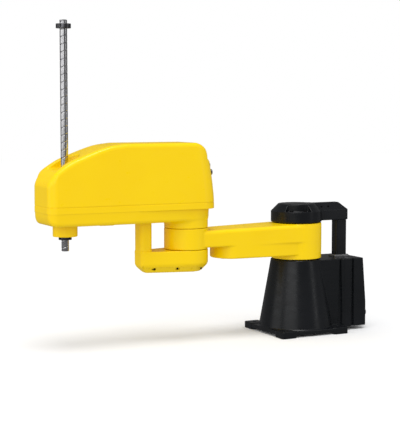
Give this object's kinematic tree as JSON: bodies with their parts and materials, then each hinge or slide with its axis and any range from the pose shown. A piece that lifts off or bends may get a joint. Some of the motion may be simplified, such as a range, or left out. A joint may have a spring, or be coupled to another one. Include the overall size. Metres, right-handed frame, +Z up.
{
  "type": "scara robot arm",
  "caption": "SCARA robot arm: fixed base, two level links turning about vertical axes, and a splined ball-screw shaft that slides and turns at the end.",
  "frame": {"origin": "on the first joint's vertical axis, in the plane of the foot pads' undersides", "axes": "+X along the straightened arm from the first joint to the shaft, +Y to the arm's left, +Z up"},
  "size_m": [1.2513, 0.286, 1.108],
  "materials": {
    "black_paint": "satin black powder coat over a casting",
    "black_plastic": "fine moulded texture",
    "yellow_paint": "gloss yellow paint over a casting",
    "yellow_cover": "gloss yellow moulded cover",
    "connector_shell": "bead-blasted, nickel plated",
    "brass": "machined",
    "steel": "ground",
    "shaft_steel": "hardened and ground",
    "dark_steel": "black oxide",
    "cable_jacket": "braided sleeve",
    "motor_housing": "satin black",
    "belt_rubber": "toothed belt",
    "bumper_rubber": "moulded",
    "aluminium": "machined",
    "button_plastic": "moulded"
  },
  "bodies": {
    "base": {"base_casting": "black_paint", "rear_connector_panel": "black_plastic", "power_connector": "connector_shell", "signal_connector": "connector_shell", "base_air_port_1": "brass", "base_air_port_2": "brass", "j1_motor": "motor_housing", "j1_reducer": "steel", "duct_top_cap": "black_paint", "duct_column": "black_paint", "duct_column_foot": "steel", "cap_screw_1": "dark_steel", "cap_screw_2": "dark_steel", "cap_screw_3": "dark_steel", "cap_screw_4": "dark_steel", "base_harness": "cable_jacket"},
    "inner_arm": {"inner_arm_casting": "yellow_paint", "j1_output_flange": "steel", "j2_reducer": "steel", "inner_arm_bumper": "bumper_rubber", "inner_arm_harness": "cable_jacket"},
    "outer_arm": {"outer_arm_casting": "yellow_paint", "outer_arm_cover": "yellow_cover", "arm_rear_panel": "black_plastic", "user_signal_connector": "connector_shell", "arm_air_port_1": "brass", "arm_air_port_2": "brass", "arm_air_port_3": "brass", "lower_duct": "yellow_paint", "lower_duct_lid": "yellow_paint", "duct_screw_1": "dark_steel", "duct_screw_2": "dark_steel", "duct_screw_3": "dark_steel", "duct_screw_4": "dark_steel", "duct_screw_5": "dark_steel", "duct_screw_6": "dark_steel", "outer_arm_harness": "cable_jacket", "j2_motor": "motor_housing", "motor_bracket": "aluminium", "j3_motor": "motor_housing", "j4_motor": "motor_housing", "spindle_bracket": "aluminium", "ball_nut_bearing": "steel", "j3_belt": "belt_rubber", "j4_belt": "belt_rubber", "underside_pad": "yellow_paint", "spindle_bearing_housing": "yellow_paint"},
    "spline_rotor": {"spline_nut": "steel", "spindle_lock_ring": "dark_steel", "spline_pulley": "aluminium"},
    "ball_nut_rotor": {"ball_nut": "steel", "ball_nut_pulley": "aluminium"},
    "shaft": {"ball_screw_shaft": "dark_steel", "shaft_stop_collar": "dark_steel", "collar_clamp_screw": "steel"},
    "j3_motor_rotor": {"j3_motor_pulley": "aluminium"},
    "j4_motor_rotor": {"j4_motor_pulley": "aluminium"},
    "brake_button": {"brake_release_button": "button_plastic"}
  },
  "joints": [
    {"name": "j1_rotation", "type": "hinge", "parent": "base", "child": "inner_arm", "pos_m": [0, 0, 0.27], "axis": [0, 0, 1], "range_deg": [-138, 138]},
    {"name": "j2_rotation", "type": "hinge", "parent": "inner_arm", "child": "outer_arm", "pos_m": [0.45, 0, 0.4015], "axis": [0, 0, 1], "range_deg": [-134, 134]},
    {"name": "j4_rotation", "type": "hinge", "parent": "outer_arm", "child": "spline_rotor", "pos_m": [0.9, 0, 0.42], "axis": [0, 0, 1], "range_deg": [-360, 360]},
    {"name": "j3_slide", "type": "slide", "parent": "spline_rotor", "child": "shaft", "axis": [0, 0, 1], "range_m": [-0.45, 0]},
    {"name": "ball_nut_spin", "type": "hinge", "parent": "spline_rotor", "child": "ball_nut_rotor", "pos_m": [0.9, 0, 0.5], "axis": [0, 0, 1], "range_deg": [-5, 6490]},
    {"name": "j3_motor_spin", "type": "hinge", "parent": "outer_arm", "child": "j3_motor_rotor", "pos_m": [0.735, 0.038, 0.48], "axis": [0, 0, 1], "range_deg": [-10, 13780]},
    {"name": "j4_motor_spin", "type": "hinge", "parent": "outer_arm", "child": "j4_motor_rotor", "pos_m": [0.735, -0.038, 0.46], "axis": [0, 0, 1], "range_deg": [-766, 766]},
    {"name": "brake_button_press", "type": "slide", "parent": "outer_arm", "child": "brake_button", "axis": [1, 0, 0], "range_m": [0, 0.003], "stiffness_N_per_m": 400, "springref_m": -0.001}
  ],
  "couplings": [
    {"joint": "ball_nut_spin", "follows": "j3_slide", "rad_per_m": -251.33},
    {"joint": "j3_motor_spin", "follows": "j3_slide", "rad_per_m": -534.07},
    {"joint": "j4_motor_spin", "follows": "j4_rotation", "ratio": 2.125}
  ]
}
